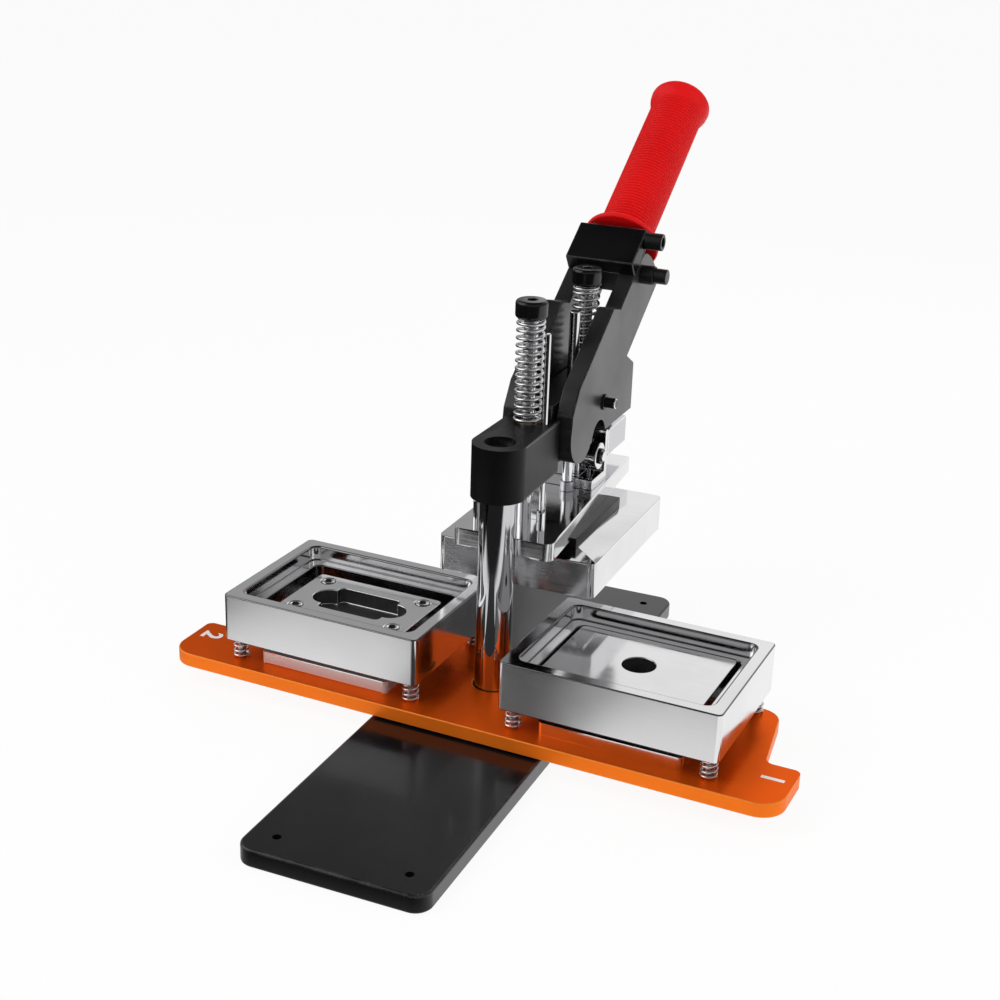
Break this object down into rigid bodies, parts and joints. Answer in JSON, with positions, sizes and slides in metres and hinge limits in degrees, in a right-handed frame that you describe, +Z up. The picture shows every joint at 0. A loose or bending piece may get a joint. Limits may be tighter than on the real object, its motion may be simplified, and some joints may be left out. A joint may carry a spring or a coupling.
{
  "type": "rotary badge press",
  "caption": "Hand lever press with a turntable of lower dies under a spring-returned ram and upper die, for closing badges and flat magnets.",
  "frame": {"origin": "on the column's axis at the base's underside", "axes": "+Z up along the column, +Y from the column towards the ram and the handle, +X to the right"},
  "size_m": [0.3586, 0.476, 0.3171],
  "materials": {
    "black_gloss": "gloss black coat",
    "black_satin": "satin black coat",
    "orange_anodised": "satin orange anodised",
    "polished_steel": "mirror polish",
    "ground_steel": "ground",
    "bronze": "sintered bronze",
    "dark_steel": "black oxide",
    "red_rubber": "soft red rubber"
  },
  "bodies": {
    "frame": {"base_plate": "black_gloss", "front_column": "polished_steel", "column_bolt": "dark_steel", "thrust_washer": "bronze", "press_head": "black_satin", "head_bolt": "dark_steel", "guide_bushes": "bronze", "fulcrum_bush": "bronze", "rear_guide_block": "ground_steel", "rear_block_screws": "dark_steel", "return_spring_front": "polished_steel", "return_spring_rear": "polished_steel"},
    "turntable": {"turntable_plate": "orange_anodised", "turntable_bush": "bronze", "pedestal_screws": "ground_steel", "die_a_pedestal": "polished_steel", "die_a_punch": "polished_steel", "die_a_springs": "polished_steel", "die_b_pedestal": "polished_steel", "die_b_core": "polished_steel", "die_b_core_screws": "ground_steel", "die_b_springs": "polished_steel"},
    "ring_a": {"die_a_ring": "polished_steel", "die_a_ring_screws": "ground_steel"},
    "ring_b": {"die_b_ring": "polished_steel", "die_b_ring_screws": "ground_steel"},
    "ram": {"ram_plate": "polished_steel", "ram_spacer": "dark_steel", "ram_screws": "dark_steel", "upper_die": "polished_steel", "upper_punch": "ground_steel", "upper_punch_screws": "ground_steel", "locating_pins": "polished_steel", "rear_guide_post": "polished_steel", "guide_rods": "polished_steel", "rod_collars": "ground_steel", "spring_posts": "polished_steel", "post_caps": "black_gloss", "roller_riser": "polished_steel", "riser_screws": "dark_steel", "roller_pin": "polished_steel", "roller_clips": "dark_steel"},
    "roller_l": {"roller_left": "polished_steel"},
    "roller_r": {"roller_right": "polished_steel"},
    "lever": {"lever_bar_left": "black_satin", "lever_bar_right": "black_satin", "fork_block": "black_satin", "fork_bolt": "dark_steel", "fork_nut": "dark_steel", "clamp_screw": "dark_steel", "fulcrum_pin": "polished_steel", "fulcrum_clip": "dark_steel", "handle_rod": "polished_steel", "grip": "red_rubber"}
  },
  "joints": [
    {"name": "turntable_turn", "type": "hinge", "parent": "frame", "child": "turntable", "pos_m": [0, 0, 0], "axis": [0, 0, 1], "range_deg": [-88, 92]},
    {"name": "ring_a_sink", "type": "slide", "parent": "turntable", "child": "ring_a", "axis": [0, 0, -1], "range_m": [0, 0.0045], "stiffness_N_per_m": 8000, "springref_m": -0.003, "deforming": ["die_a_springs"]},
    {"name": "ring_b_sink", "type": "slide", "parent": "turntable", "child": "ring_b", "axis": [0, 0, -1], "range_m": [0, 0.0045], "stiffness_N_per_m": 8000, "springref_m": -0.003, "deforming": ["die_b_springs"]},
    {"name": "lever_swing", "type": "hinge", "parent": "frame", "child": "lever", "pos_m": [0, 0.1013, 0.15625], "axis": [1, 0, 0], "range_deg": [0, 40]},
    {"name": "ram_slide", "type": "slide", "parent": "frame", "child": "ram", "axis": [0, 0, -1], "range_m": [0, 0.0085], "stiffness_N_per_m": 3000, "springref_m": -0.02, "deforming": ["return_spring_front", "return_spring_rear"]},
    {"name": "roller_left_spin", "type": "hinge", "parent": "ram", "child": "roller_l", "pos_m": [0, 0.103, 0.12275], "axis": [1, 0, 0], "continuous": true},
    {"name": "roller_right_spin", "type": "hinge", "parent": "ram", "child": "roller_r", "pos_m": [0, 0.103, 0.12275], "axis": [1, 0, 0], "continuous": true}
  ],
  "couplings": [
    {"joint": "ram_slide", "follows": "lever_swing", "m_per_rad": 0.012175}
  ]
}
